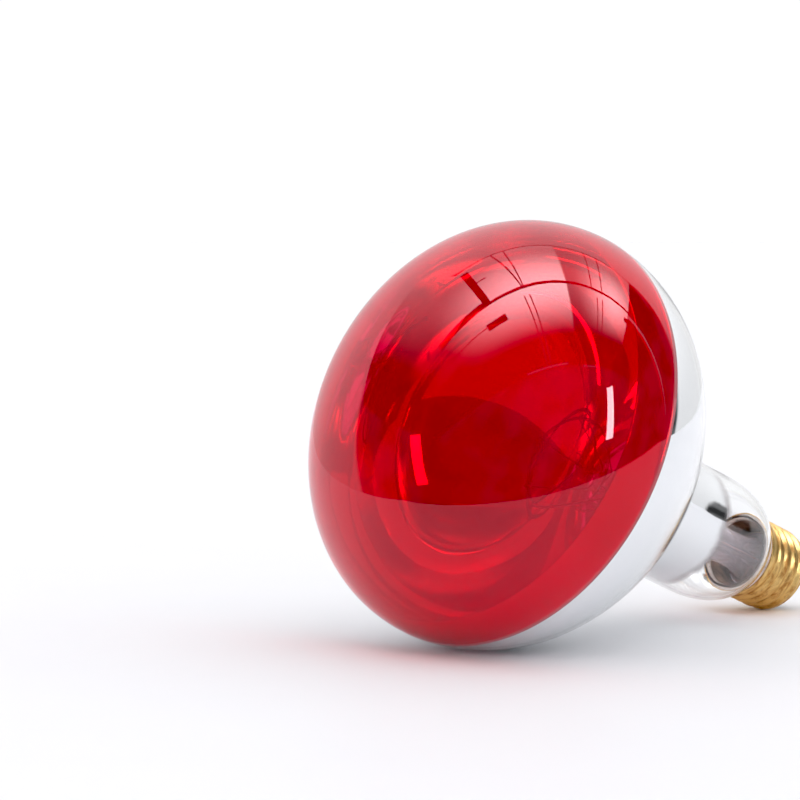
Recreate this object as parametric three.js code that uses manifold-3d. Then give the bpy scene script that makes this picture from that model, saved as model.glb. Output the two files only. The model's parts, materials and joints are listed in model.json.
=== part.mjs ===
// Infrared reflector lamp for warming chicks and small livestock: an R125 bulb with a ruby front, a
// mirrored bowl and neck, a clear glass shoulder and an E27 screw cap.
//
// Millimetres. Every piece is drawn upright round the Z axis, from the front of the dome at z = 0 to
// the centre contact at z = LENGTH. The finished lamp is then laid down on its widest circle and its
// cap, cap towards +X, with the surface that it lies on at z = 0 and the origin below its middle.
import * as THREE from "three";
import { mergeVertices } from "three/addons/utils/BufferGeometryUtils.js";
import Module from "manifold-3d";

const wasm = await Module();
wasm.setup();

// Glass envelope
const BULB_RADIUS = 62.5;
const DOME_DEPTH = 40.9; // front of the dome to the widest circle
const DOME_FULLNESS = 2.14; // 2 is an ellipse; more is squarer
const BOWL_FULLNESS = 31.8; // how far the bowl keeps its width behind the widest circle
const BOWL_TURN_Z = 90; // where the bowl starts to turn into the neck
const NECK_RADIUS = 19.35;
const NECK_START_Z = 104.3;
const NECK_END_Z = 133.7;
const SHOULDER_END_Z = 152.4;
const SHOULDER_END_RADIUS = 11.8;
const CAP_Z = 153.9; // rim of the screw cap
const TAIL_RADIUS = 10.5; // glass inside the cap
const TAIL_START_Z = CAP_Z + 2.5;
const TAIL_END_Z = CAP_Z + 8;
const GLASS_WALL = 1;

// Coatings, drawn thick enough to be solids
const GAP = 0.3; // left between pieces that touch
const COATING = 0.25;
const RUBY_EDGE_Z = 40.5;
const MIRROR_START_Z = 27.3; // the mirror reaches forward under the ruby
const MIRROR_END_Z = 122.7;

// Stem
const TUBE_RADIUS = 5.5;
const TUBE_WALL = 1;
const FLARE_START_Z = CAP_Z - 6;
const FLARE_RADIUS = TAIL_RADIUS - GLASS_WALL - GAP;
const PRESS_START_Z = 104;
const PRESS_LENGTH = 13;
const PRESS_WIDTH = 11;
const PRESS_THICKNESS = 5;
const EXHAUST_RADIUS = 1.9;
const EXHAUST_WALL = 0.6;
const EXHAUST_TIP_Z = CAP_Z + 11;
const ARBOR_RADIUS = 1.6;
const BUTTON_RADIUS = 3.4;
const BUTTON_Z = 85.5;

// Filament and wires
const FILAMENT_Z = 71;
const FILAMENT_RING = 15; // radius of the arc it hangs in
const FILAMENT_RADIUS = 0.5; // outside of the coil
const FILAMENT_OPENING = THREE.MathUtils.degToRad(70); // between the two leads
const SUPPORT_COUNT = 5;
const SUPPORT_RADIUS = 0.17;
const SUPPORT_EYE = 1.05; // radius of the curl round the filament
const LEAD_RADIUS = 0.4;
const LEAD_SPREAD = 3.6; // each lead's distance from the axis in the press
const PRESS_WIRE_RADIUS = 0.25;
const OUTER_LEAD_RADIUS = 0.22;

// Screw cap
const CAP_LENGTH = 26.5;
const SHELL_WALL = 0.35;
const THREAD_MAJOR = 13.1;
const THREAD_MINOR = 12.05;
const THREAD_PITCH = 3.629; // seven turns to the inch
const THREAD_START_Z = CAP_Z + 2.6;
const THREAD_END_Z = CAP_Z + 18;
const SKIRT_RADIUS = 13.3;
const SKIRT_LENGTH = 2.2;
const SHELL_END_Z = CAP_Z + 20.6;
const CEMENT_END_Z = CAP_Z + 7.5; // how deep the cement holds the glass
const SHELL_MOUTH_RADIUS = 8.8; // the hole at its end, round the insulator
const INSULATOR_START_Z = CAP_Z + 18.8;
const INSULATOR_END_Z = CAP_Z + 24.7;
const CONTACT_RADIUS = 5.2;
const CONTACT_THICKNESS = 0.6;
const SOLDER_RADIUS = 2.6;
const LEAD_HOLE_RADIUS = 1;
const SIDE_SOLDER_ANGLE = THREE.MathUtils.degToRad(50); // from the lamp's underside towards +Y
const LENGTH = CAP_Z + CAP_LENGTH;

// Facets: flats, not edges, lie on the true circle, so the lamp rests on a flat at its true height
const AROUND = 32;
const AROUND_SMALL = 12;
const WIRE_SIDES = 6;

const finishes = {
  clearGlass: { color: 0xe6edef, roughness: 0.05, metalness: 0 },
  rubyGlass: { color: 0xb00012, roughness: 0.06, metalness: 0 },
  mirror: { color: 0xe8eaec, roughness: 0.03, metalness: 1 },
  brass: { color: 0xd9a93f, roughness: 0.25, metalness: 1 },
  solder: { color: 0xb4b6b8, roughness: 0.35, metalness: 1 },
  cement: { color: 0xe9e2d2, roughness: 0.9, metalness: 0 },
  vitrite: { color: 0x131317, roughness: 0.2, metalness: 0 },
  nickel: { color: 0xa7a49c, roughness: 0.35, metalness: 1 },
  copper: { color: 0xb56b42, roughness: 0.35, metalness: 1 },
  molybdenum: { color: 0x8a8a8c, roughness: 0.4, metalness: 1 },
  tungsten: { color: 0x4b4a4a, roughness: 0.5, metalness: 1 },
};

const lamp = new THREE.Group();

function add(name, geometry, finish) {
  const mesh = new THREE.Mesh(geometry, new THREE.MeshStandardMaterial(finishes[finish]));
  mesh.name = name;
  lamp.add(mesh);
}

// Outlines are lists of points, x the radius and y the place along the lamp.
const at = (radius, z) => new THREE.Vector2(radius, z);

function sweep(count, place) {
  return Array.from({ length: count + 1 }, (_, i) => place(i / count));
}

// The outline moved towards the axis, or away from it if the distance is negative.
function inset(outline, distance) {
  return outline.map((point, i) => {
    const before = outline[Math.max(i - 1, 0)];
    const after = outline[Math.min(i + 1, outline.length - 1)];
    const along = after.clone().sub(before).normalize();
    const radius = point.x - along.y * distance;
    return point.x === 0 ? at(0, point.y + distance) : at(radius, point.y + along.x * distance);
  });
}

function turned(outline, around = AROUND) {
  const half = Math.PI / around;
  const scaled = outline.map((point) => at(point.x / Math.cos(half), point.y));
  return new THREE.LatheGeometry(scaled, around, half).rotateX(Math.PI / 2);
}

// A wall between an outline and its inset; an outline that starts on the axis gives an open cup.
function shell(outer, inner, around = AROUND) {
  const loop = [...outer, ...inner.toReversed()];
  return turned(outer[0].x === 0 ? loop : [...loop, outer[0]], around);
}

function rod(radius, start, end, around = AROUND_SMALL) {
  return turned([at(0, start), at(radius, start), at(radius, end), at(0, end)], around);
}

function wire(points, radius, steps) {
  const section = new THREE.Shape(
    sweep(WIRE_SIDES - 1, (t) => {
      const angle = (t * (WIRE_SIDES - 1) * 2 * Math.PI) / WIRE_SIDES;
      return at(radius * Math.cos(angle), radius * Math.sin(angle));
    }),
  );
  const extrudePath = new THREE.CatmullRomCurve3(points, false, "centripetal");
  return new THREE.ExtrudeGeometry(section, { steps, extrudePath });
}

function toSolid(geometry) {
  const bare = geometry.clone();
  bare.deleteAttribute("normal");
  bare.deleteAttribute("uv");
  const merged = mergeVertices(bare, 1e-4);
  const vertProperties = new Float32Array(merged.attributes.position.array);
  const triVerts = new Uint32Array(merged.index.array);
  return new wasm.Manifold(new wasm.Mesh({ numProp: 3, vertProperties, triVerts }));
}

function toGeometry(solid) {
  const { vertProperties, triVerts } = solid.getMesh();
  const geometry = new THREE.BufferGeometry();
  geometry.setAttribute("position", new THREE.BufferAttribute(vertProperties, 3));
  geometry.setIndex(new THREE.BufferAttribute(triVerts, 1));
  return geometry;
}

function cut(geometry, ...tools) {
  const solid = tools.reduce((left, tool) => left.subtract(toSolid(tool)), toSolid(geometry));
  return toGeometry(solid);
}

function join(...geometries) {
  return toGeometry(geometries.map(toSolid).reduce((sum, next) => sum.add(next)));
}

// The outside of the glass, in stretches from the dome to the cap.
function domeOutline(startZ, endZ, count) {
  const angleAt = (z) => Math.acos(Math.pow(1 - z / DOME_DEPTH, DOME_FULLNESS / 2));
  return sweep(count, (t) => {
    const angle = THREE.MathUtils.lerp(angleAt(startZ), angleAt(endZ), t);
    const out = Math.pow(Math.sin(angle), 2 / DOME_FULLNESS);
    const forward = Math.pow(Math.max(Math.cos(angle), 0), 2 / DOME_FULLNESS);
    return at(BULB_RADIUS * out, DOME_DEPTH * (1 - forward));
  });
}

function bowlOutline(count) {
  const curve = new THREE.CubicBezierCurve(
    at(BULB_RADIUS, DOME_DEPTH),
    at(BULB_RADIUS, DOME_DEPTH + BOWL_FULLNESS),
    at(NECK_RADIUS, BOWL_TURN_Z),
    at(NECK_RADIUS, NECK_START_Z),
  );
  return curve.getPoints(count);
}

function shoulderOutline(count) {
  return sweep(count, (t) => {
    const angle = (t * Math.PI) / 2;
    const drop = NECK_RADIUS - SHOULDER_END_RADIUS;
    const radius = SHOULDER_END_RADIUS + drop * Math.cos(angle);
    return at(radius, NECK_END_Z + (SHOULDER_END_Z - NECK_END_Z) * Math.sin(angle));
  });
}

const dome = domeOutline(0, DOME_DEPTH, 9);
const bowl = bowlOutline(9);
const glassOutline = [...dome, ...bowl.slice(1), ...shoulderOutline(5)];
const tail = [
  at(SHOULDER_END_RADIUS - 0.3, CAP_Z),
  at(TAIL_RADIUS, TAIL_START_Z),
  at(TAIL_RADIUS, TAIL_END_Z),
];

function makeEnvelope() {
  const outer = [...glassOutline, ...tail];
  add("glass_envelope", shell(outer, inset(outer, GLASS_WALL)), "clearGlass");

  const ruby = inset(domeOutline(0, RUBY_EDGE_Z, 8), -GAP);
  add("ruby_front_coating", shell(inset(ruby, -COATING), ruby), "rubyGlass");

  const front = domeOutline(MIRROR_START_Z, DOME_DEPTH, 4);
  const backed = [...front, ...bowl.slice(1), at(NECK_RADIUS, MIRROR_END_Z)];
  const mirror = inset(backed, GLASS_WALL + GAP);
  add("mirror_coating", shell(mirror, inset(mirror, COATING)), "mirror");
}

// Where the two leads pass: the lamp's own X points down and Y sideways, and the press is wide in Y.
const sides = { left: -1, right: 1 };
const pressEnd = PRESS_START_Z + PRESS_LENGTH;

function makeStem() {
  const flareTurn = FLARE_RADIUS - TUBE_RADIUS;
  const flare = sweep(4, (t) => {
    const angle = (t * Math.PI) / 2;
    const radius = TUBE_RADIUS + flareTurn * (1 - Math.cos(angle));
    return at(radius, FLARE_START_Z + (TAIL_END_Z - FLARE_START_Z) * Math.sin(angle));
  });
  const tubeOutside = [at(TUBE_RADIUS, pressEnd - TUBE_WALL), ...flare];
  const tubeInside = inset(tubeOutside, TUBE_WALL);
  tubeInside[0] = at(TUBE_RADIUS - TUBE_WALL, pressEnd);
  tubeInside[tubeInside.length - 1] = at(FLARE_RADIUS - TUBE_WALL, TAIL_END_Z);
  const tube = turned([
    at(0, tubeOutside[0].y),
    ...tubeOutside,
    ...tubeInside.toReversed(),
    at(0, pressEnd),
  ]);
  const press = new THREE.BoxGeometry(PRESS_THICKNESS, PRESS_WIDTH, PRESS_LENGTH);
  press.translate(0, 0, PRESS_START_Z + PRESS_LENGTH / 2 - GAP);

  // The blow hole lets the air out of the bulb into the exhaust tube.
  const blowHole = rod(0.7, -8, 8, WIRE_SIDES).rotateY(Math.PI / 4);
  blowHole.translate(PRESS_THICKNESS / 2, 0, pressEnd - PRESS_THICKNESS / 2);
  const wireHoles = Object.values(sides).map((side) =>
    rod(PRESS_WIRE_RADIUS + GAP, PRESS_START_Z - 2, pressEnd + 2, 8).translate(0, side * LEAD_SPREAD, 0),
  );
  add("stem_flare_and_press", cut(join(tube, press), blowHole, ...wireHoles), "clearGlass");

  const tipZ = EXHAUST_TIP_Z;
  const exhaust = [
    at(EXHAUST_RADIUS, pressEnd + GAP),
    at(EXHAUST_RADIUS, tipZ - 4),
    at(EXHAUST_RADIUS - 0.5, tipZ - 1.8),
    at(0.6, tipZ),
    at(0, tipZ + 0.2),
    at(0, tipZ - 2),
    at(EXHAUST_RADIUS - EXHAUST_WALL, tipZ - 4),
    at(EXHAUST_RADIUS - EXHAUST_WALL, pressEnd + GAP),
    at(EXHAUST_RADIUS, pressEnd + GAP),
  ];
  add("exhaust_tube", turned(exhaust, AROUND_SMALL), "clearGlass");

  const button = sweep(6, (t) => {
    const angle = t * 0.8 * Math.PI;
    return at(BUTTON_RADIUS * Math.sin(angle), BUTTON_Z - 0.6 * BUTTON_RADIUS * Math.cos(angle));
  });
  const footZ = PRESS_START_Z - 2 * GAP;
  const stalk = [at(ARBOR_RADIUS, BUTTON_Z + 4), at(ARBOR_RADIUS, footZ), at(0, footZ)];
  const arbor = turned([...button, ...stalk], AROUND_SMALL);
  const sockets = supportAngles.map((angle) =>
    rod(SUPPORT_RADIUS + GAP, 1.4, BUTTON_RADIUS + 1, WIRE_SIDES)
      .rotateY(Math.PI / 2)
      .rotateZ(angle)
      .translate(0, 0, BUTTON_Z),
  );
  add("support_arbor", cut(arbor, ...sockets), "clearGlass");
}

// The filament hangs in an arc that opens downwards, between the leads.
const filamentStart = FILAMENT_OPENING / 2;
const filamentSweep = 2 * Math.PI - FILAMENT_OPENING;
const supportAngles = sweep(SUPPORT_COUNT - 1, (t) => {
  const margin = filamentSweep / (2 * SUPPORT_COUNT);
  return filamentStart + margin + t * (filamentSweep - 2 * margin);
});

// A point given by its distance from the axis, its angle round it and its place along it.
function round(radius, angle, z) {
  return new THREE.Vector3(radius * Math.cos(angle), radius * Math.sin(angle), z);
}

function makeFilament() {
  const clear = (LEAD_RADIUS + GAP + 0.1) / FILAMENT_RING;
  const arc = sweep(24, (t) => {
    const angle = filamentStart + clear + t * (filamentSweep - 2 * clear);
    return round(FILAMENT_RING, angle, FILAMENT_Z);
  });
  add("filament", wire(arc, FILAMENT_RADIUS, 32), "tungsten");

  // Each support runs from the button to the filament and curls once round it, like a pigtail.
  supportAngles.forEach((angle, i) => {
    const curl = sweep(8, (t) => {
      const turn = -0.25 * Math.PI + t * 1.75 * Math.PI;
      const radius = FILAMENT_RING + SUPPORT_EYE * Math.sin(turn);
      const skew = ((t - 0.5) * 0.8) / FILAMENT_RING;
      return round(radius, angle + skew, FILAMENT_Z + SUPPORT_EYE * Math.cos(turn));
    });
    const path = [
      round(1.8, angle, BUTTON_Z),
      round(BUTTON_RADIUS + 1.2, angle, BUTTON_Z),
      round(BUTTON_RADIUS + 3, angle, BUTTON_Z - 1.8),
      ...curl,
    ];
    add(`filament_support_${i + 1}`, wire(path, SUPPORT_RADIUS, 20), "molybdenum");
  });
}

function makeLeads() {
  for (const [name, side] of Object.entries(sides)) {
    const tip = side * filamentStart;
    const inner = [
      new THREE.Vector3(0, side * LEAD_SPREAD, PRESS_START_Z - 2 * GAP),
      new THREE.Vector3(0.3, side * LEAD_SPREAD, PRESS_START_Z - 4),
      round(FILAMENT_RING - 2.2, tip, FILAMENT_Z + 6),
      round(FILAMENT_RING, tip, FILAMENT_Z + 1),
      round(FILAMENT_RING, tip, FILAMENT_Z - 1.5),
    ];
    add(`inner_lead_${name}`, wire(inner, LEAD_RADIUS, 14), "nickel");
    const pressWire = rod(PRESS_WIRE_RADIUS, PRESS_START_Z, pressEnd, WIRE_SIDES);
    add(`press_wire_${name}`, pressWire.translate(0, side * LEAD_SPREAD, 0), "copper");
  }

  const throughTube = (side) => [
    new THREE.Vector3(0, side * LEAD_SPREAD, pressEnd + GAP),
    new THREE.Vector3(0, side * 3.2, pressEnd + 5),
    new THREE.Vector3(0, side * 3.2, TAIL_END_Z),
  ];
  const toContact = [
    ...throughTube(sides.left),
    new THREE.Vector3(0, -3.2, EXHAUST_TIP_Z + 1),
    new THREE.Vector3(0, -0.3, EXHAUST_TIP_Z + 6),
    new THREE.Vector3(0, 0, INSULATOR_START_Z + 1),
    new THREE.Vector3(0, 0, INSULATOR_END_Z),
  ];
  add("outer_lead_centre", wire(toContact, OUTER_LEAD_RADIUS, 24), "copper");
  add("outer_lead_side", wire(sideLeadPath(throughTube(sides.right)), OUTER_LEAD_RADIUS, 30), "copper");
}

// Out of the tube, back between the glass and the cap, and over the cap's rim.
function sideLeadPath(start = []) {
  const angle = SIDE_SOLDER_ANGLE;
  const between = (THREAD_MINOR - SHELL_WALL + TAIL_RADIUS) / 2;
  return [
    ...start,
    new THREE.Vector3(0.3, 3.6, TAIL_END_Z + 2.2),
    round(7, angle, TAIL_END_Z + 3.6),
    round(between, angle, TAIL_END_Z + 1.5),
    round(between, angle, CAP_Z + 4),
    round(SHOULDER_END_RADIUS + 0.55, angle, CAP_Z + 1),
    round(SKIRT_RADIUS - 0.7, angle, CAP_Z - 0.5),
    round(SKIRT_RADIUS + 0.5, angle, CAP_Z - 0.6),
  ];
}

const threadMean = (THREAD_MAJOR + THREAD_MINOR) / 2;
const threadDepth = (THREAD_MAJOR - THREAD_MINOR) / 2;

// How far the right-hand thread stands out of its mean radius; it fades in and out at its ends.
function threadHeight(angle, z) {
  const fromEnd = Math.min(z - THREAD_START_Z, THREAD_END_Z - z) / (0.6 * THREAD_PITCH);
  const phase = (2 * Math.PI * (z - THREAD_START_Z)) / THREAD_PITCH - angle;
  return threadDepth * THREE.MathUtils.clamp(fromEnd, 0, 1) * Math.cos(phase);
}

function rollThread(geometry) {
  const position = geometry.attributes.position;
  for (let i = 0; i < position.count; i++) {
    const [x, y, z] = [position.getX(i), position.getY(i), position.getZ(i)];
    const grown = 1 + threadHeight(Math.atan2(y, x), z) / Math.hypot(x, y);
    position.setXY(i, x * grown, y * grown);
  }
  return geometry;
}

function makeCap() {
  const threadSteps = 24;
  const outer = [
    at(SKIRT_RADIUS, CAP_Z),
    at(SKIRT_RADIUS, CAP_Z + SKIRT_LENGTH),
    ...sweep(threadSteps, (t) => at(threadMean, THREAD_START_Z + t * (THREAD_END_Z - THREAD_START_Z))),
    at(threadMean - 0.9, THREAD_END_Z + 1.2),
    at(SHELL_MOUTH_RADIUS + 1.2, SHELL_END_Z),
    at(SHELL_MOUTH_RADIUS, SHELL_END_Z),
  ];
  const inner = outer.slice(0, -2).map((point) => at(point.x - SHELL_WALL, point.y));
  inner.push(at(SHELL_MOUTH_RADIUS + 1, SHELL_END_Z - SHELL_WALL));
  inner.push(at(SHELL_MOUTH_RADIUS, SHELL_END_Z - SHELL_WALL));
  add("screw_shell", rollThread(shell(outer, inner)), "brass");

  const sleeveOutside = THREAD_MINOR - SHELL_WALL - GAP;
  const sleeveInside = TAIL_RADIUS + GAP;
  const cement = turned([
    at(SHOULDER_END_RADIUS, CAP_Z + 0.2),
    at(SKIRT_RADIUS - SHELL_WALL - GAP, CAP_Z + 0.2),
    at(SKIRT_RADIUS - SHELL_WALL - GAP, CAP_Z + 1.7),
    at(sleeveOutside, TAIL_START_Z + GAP),
    at(sleeveOutside, CEMENT_END_Z),
    at(sleeveInside, CEMENT_END_Z),
    at(sleeveInside, TAIL_START_Z + GAP),
    at(SHOULDER_END_RADIUS, CAP_Z + 0.2),
  ]);
  const leadRoom = wire(sideLeadPath(), OUTER_LEAD_RADIUS + GAP, 24);
  add("basing_cement", cut(cement, leadRoom), "cement");

  const neckRadius = SHELL_MOUTH_RADIUS - GAP;
  const insulator = [
    at(LEAD_HOLE_RADIUS, INSULATOR_START_Z),
    at(neckRadius, INSULATOR_START_Z),
    at(neckRadius, SHELL_END_Z + GAP),
    at(neckRadius + 0.7, SHELL_END_Z + GAP),
    at(neckRadius - 0.4, SHELL_END_Z + 1.8),
    at(CONTACT_RADIUS + 0.6, INSULATOR_END_Z),
    at(LEAD_HOLE_RADIUS, INSULATOR_END_Z),
    at(LEAD_HOLE_RADIUS, INSULATOR_START_Z),
  ];
  add("cap_insulator", turned(insulator), "vitrite");

  const plateZ = INSULATOR_END_Z + GAP;
  const plate = [
    at(CONTACT_RADIUS, plateZ),
    at(CONTACT_RADIUS, plateZ + 0.7 * CONTACT_THICKNESS),
    at(CONTACT_RADIUS - 0.4, plateZ + CONTACT_THICKNESS),
  ];
  add("contact_plate", shell(plate, plate.map((point) => at(LEAD_HOLE_RADIUS, point.y))), "brass");

  const solderZ = plateZ + CONTACT_THICKNESS + GAP;
  const solderSide = [at(SOLDER_RADIUS, solderZ), at(SOLDER_RADIUS - 0.5, LENGTH)];
  const solder = [at(0, solderZ), ...solderSide, at(0, LENGTH)];
  add("centre_solder", turned(solder), "solder");

  const blob = new THREE.SphereGeometry(1, 12, 8).scale(1.5, 2, 1.8).rotateZ(SIDE_SOLDER_ANGLE);
  blob.translate(...round(SKIRT_RADIUS + 0.3, SIDE_SOLDER_ANGLE, CAP_Z + 1.1));
  const shellRoom = rod(SKIRT_RADIUS + GAP, CAP_Z - 3, CAP_Z + 6, AROUND);
  add("side_solder", cut(blob, shellRoom, leadRoom), "solder");
}

makeEnvelope();
makeStem();
makeFilament();
makeLeads();
makeCap();

// Lay the lamp down, its own X underneath: the surface touches the bulb and one thread crest.
const threadOutline = sweep(60, (t) => {
  const z = THREAD_START_Z + t * (THREAD_END_Z - THREAD_START_Z);
  return at(threadMean + threadHeight(0, z), z);
});
const leanFrom = (crest) =>
  Math.max(...glassOutline.map((point) => Math.atan2(point.x - crest.x, crest.y - point.y)));
lamp.rotation.y = Math.PI / 2 + Math.min(...threadOutline.map(leanFrom));

const object = new THREE.Group();
object.add(lamp);
const box = new THREE.Box3().setFromObject(object, true);
const middle = box.getCenter(new THREE.Vector3());
lamp.position.set(-middle.x, -middle.y, -box.min.z);

export default object;
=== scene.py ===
import json
import math

import bmesh
import bpy
from mathutils import Matrix, Vector, noise


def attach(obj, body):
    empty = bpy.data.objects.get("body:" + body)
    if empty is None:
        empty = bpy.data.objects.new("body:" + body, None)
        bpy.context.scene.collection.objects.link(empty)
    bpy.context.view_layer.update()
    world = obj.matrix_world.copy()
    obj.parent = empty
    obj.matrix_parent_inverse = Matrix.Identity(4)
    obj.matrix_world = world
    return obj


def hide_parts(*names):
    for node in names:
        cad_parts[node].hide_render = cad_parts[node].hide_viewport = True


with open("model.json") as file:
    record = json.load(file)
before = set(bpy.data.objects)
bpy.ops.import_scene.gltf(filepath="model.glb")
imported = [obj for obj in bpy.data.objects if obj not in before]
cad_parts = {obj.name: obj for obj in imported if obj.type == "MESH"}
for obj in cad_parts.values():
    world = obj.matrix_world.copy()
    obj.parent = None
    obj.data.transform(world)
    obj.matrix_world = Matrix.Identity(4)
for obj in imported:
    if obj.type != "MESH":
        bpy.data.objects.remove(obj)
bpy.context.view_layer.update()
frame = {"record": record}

# Every piece is drawn upright in millimetres, dome at z = 0 and cap above, then laid down with lampFrame.
lampLength = 180.4
contact = next(m for m in frame["record"]["mounts"] if m["name"] == "centre_contact")
lampAxis = Vector(contact["axis"]).normalized()
lampSide = Vector((0, 1, 0))
lampUnder = lampSide.cross(lampAxis)
domeFront = Vector(contact["pos_m"]) - lampAxis * lampLength / 1000
lampTurn = Matrix((lampUnder, lampSide, lampAxis)).transposed()
lampFrame = Matrix.Translation(domeFront) @ lampTurn.to_4x4() @ Matrix.Scale(0.001, 4)

glass = {
    "bulbRadius": 62.5,
    "domeDepth": 40.9,  # dome front to the widest circle
    "domeFullness": 2.14,  # 2 is an ellipse, more is squarer
    "bowlFullness": 31.8,  # how far the bowl keeps its width
    "bowlTurn": 90,
    "neckRadius": 19.35,
    "neckStart": 104.3,
    "taper": 0.5,  # the neck is this much wider where it leaves the bowl
    "taperEnd": 114,
    "neckEnd": 133.7,
    "shoulderEnd": 152.4,
    "shoulderRadius": 11.8,
    "tailRadius": 10.5,
    "wall": 1.0,
    "turnSteps": 240,
}
coating = {
    "rubyEdge": 40.5,
    "mirrorStart": 27.3,  # the mirror reaches forward under the ruby
    "mirrorEnd": 122.7,
    "rubyWall": 0.12,
    "mirrorWall": 0.1,
    "clearance": 0.06,
}
capStart = 153.9  # rim of the screw cap
tailEnd = capStart + 8


# Outlines are lists of (radius, z) in millimetres.

def blend(count):
    return [i / count for i in range(count + 1)]


def polar(radius, angle, z):
    return Vector((radius * math.cos(angle), radius * math.sin(angle), z))


def moveIn(outline, distance):  # the same outline nearer the axis
    moved = []
    for i, (radius, z) in enumerate(outline):
        before = Vector(outline[max(i - 1, 0)])
        after = Vector(outline[min(i + 1, len(outline) - 1)])
        along = (after - before).normalized()
        if radius == 0:
            moved.append((0, z + distance))
        else:
            moved.append((radius - along.y * distance, z + along.x * distance))
    return moved


def spinOutline(bm, outline, steps, closed=False):
    corners = [bm.verts.new((radius, 0, z)) for radius, z in outline]
    ring = corners + corners[:1] if closed else corners
    lines = [bm.edges.new(pair) for pair in zip(ring, ring[1:])]
    bmesh.ops.spin(
        bm, geom=corners + lines, cent=(0, 0, 0), axis=(0, 0, 1),
        angle=2 * math.pi, steps=steps, use_merge=True,
    )
    bmesh.ops.remove_doubles(bm, verts=bm.verts, dist=0.002)
    bmesh.ops.recalc_face_normals(bm, faces=bm.faces)


def addPiece(name, body, material):
    body.name = name
    bpy.context.scene.collection.objects.link(body)
    body.data.materials.append(material)
    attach(body, "root")
    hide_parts(name)
    return body


def pieceFromMesh(name, bm, material, wall=0, sharp=50, inside=None):
    bmesh.ops.transform(bm, matrix=lampFrame, verts=bm.verts)
    for face in bm.faces:
        face.smooth = True
    for edge in bm.edges:
        if len(edge.link_faces) == 2:
            edge.smooth = edge.calc_face_angle() < math.radians(sharp)
    mesh = bpy.data.meshes.new(name)
    bm.to_mesh(mesh)
    bm.free()
    piece = addPiece(name, bpy.data.objects.new(name, mesh), material)
    if wall:
        thicken = piece.modifiers.new("wall", "SOLIDIFY")
        thicken.thickness = wall / 1000
        thicken.offset = -1
        thicken.use_even_offset = True
        if inside:
            mesh.materials.append(inside)
            thicken.material_offset = 1
    return piece


def pieceFromWire(name, path, radius, material, smooth=True, sides=3):
    curve = bpy.data.curves.new(name, "CURVE")
    curve.dimensions = "3D"
    curve.bevel_depth = radius / 1000
    curve.bevel_resolution = sides
    curve.resolution_u = 10
    curve.use_fill_caps = True
    spline = curve.splines.new("BEZIER" if smooth else "POLY")
    points = spline.bezier_points if smooth else spline.points
    points.add(len(path) - 1)
    for point, place in zip(points, path):
        at = lampFrame @ Vector(place)
        point.co = at if smooth else (*at, 1)
        if smooth:
            point.handle_left_type = point.handle_right_type = "AUTO"
    addPiece(name, bpy.data.objects.new(name, curve), material)


# Short ways to place and join shader nodes.

def plug(tree, socket, value):
    if isinstance(value, bpy.types.NodeSocket):
        tree.links.new(value, socket)
    else:
        socket.default_value = value


def maths(tree, operation, *values):
    step = tree.nodes.new("ShaderNodeMath")
    step.operation = operation
    for socket, value in zip(step.inputs, values):
        plug(tree, socket, value)
    return step.outputs[0]


def ramp(tree, value, low, high, start=0.0, end=1.0):
    step = tree.nodes.new("ShaderNodeMapRange")
    step.interpolation_type = "SMOOTHSTEP"
    for name, given in (("Value", value), ("From Min", low), ("From Max", high),
                        ("To Min", start), ("To Max", end)):
        plug(tree, step.inputs[name], given)
    return step.outputs["Result"]


def mixColours(tree, factor, first, second, blendType="MIX"):
    step = tree.nodes.new("ShaderNodeMix")
    step.data_type = "RGBA"
    step.blend_type = blendType
    plug(tree, step.inputs["Factor"], factor)
    plug(tree, step.inputs["A"], first)
    plug(tree, step.inputs["B"], second)
    return step.outputs["Result"]


def noiseAt(tree, place, scale, detail=3.0, roughness=0.5):
    step = tree.nodes.new("ShaderNodeTexNoise")
    plug(tree, step.inputs["Vector"], place)
    plug(tree, step.inputs["Scale"], scale)
    step.inputs["Detail"].default_value = detail
    step.inputs["Roughness"].default_value = roughness
    return step.outputs["Fac"]


def objectPlace(tree):
    return tree.nodes.new("ShaderNodeTexCoord").outputs["Object"]


def lampPlace(tree, stretch=(1, 1, 1)):  # lamp coordinates in metres, z running along the lamp
    turnBack = tree.nodes.new("ShaderNodeMapping")
    turnBack.vector_type = "TEXTURE"
    turnBack.inputs["Location"].default_value = domeFront
    turnBack.inputs["Rotation"].default_value = lampTurn.to_euler()
    turnBack.inputs["Scale"].default_value = stretch
    tree.links.new(objectPlace(tree), turnBack.inputs["Vector"])
    return turnBack.outputs["Vector"]


def bumpFrom(tree, height, strength, distance):
    step = tree.nodes.new("ShaderNodeBump")
    step.inputs["Strength"].default_value = strength
    step.inputs["Distance"].default_value = distance
    tree.links.new(height, step.inputs["Height"])
    return step.outputs["Normal"]


def startGroup(name, inputs, outputs):
    group = bpy.data.node_groups.new(name, "ShaderNodeTree")
    for label, kind, value in inputs:
        socket = group.interface.new_socket(name=label, in_out="INPUT", socket_type=kind)
        if value is not None:
            socket.default_value = value
    for label in outputs:
        group.interface.new_socket(name=label, in_out="OUTPUT", socket_type="NodeSocketFloat")
    given = group.nodes.new("NodeGroupInput").outputs
    result = group.nodes.new("NodeGroupOutput").inputs
    return group, given, result


def useGroup(tree, group, **values):
    step = tree.nodes.new("ShaderNodeGroup")
    step.node_tree = group
    for label, value in values.items():
        plug(tree, step.inputs[label], value)
    return step.outputs


# Effects that several finishes share, as node groups.

def blownWaves():  # slow waves that blowing leaves in glass
    group, given, result = startGroup(
        "blownWaves",
        [("Place", "NodeSocketVector", None), ("Scale", "NodeSocketFloat", 30.0),
         ("Fine", "NodeSocketFloat", 0.2)],
        ["Height"],
    )
    slow = noiseAt(group, given["Place"], given["Scale"], 1.0)
    finer = noiseAt(group, given["Place"], maths(group, "MULTIPLY", given["Scale"], 6.0), 2.0)
    plug(group, result["Height"], maths(group, "MULTIPLY_ADD", finer, given["Fine"], slow))
    return group


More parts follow.
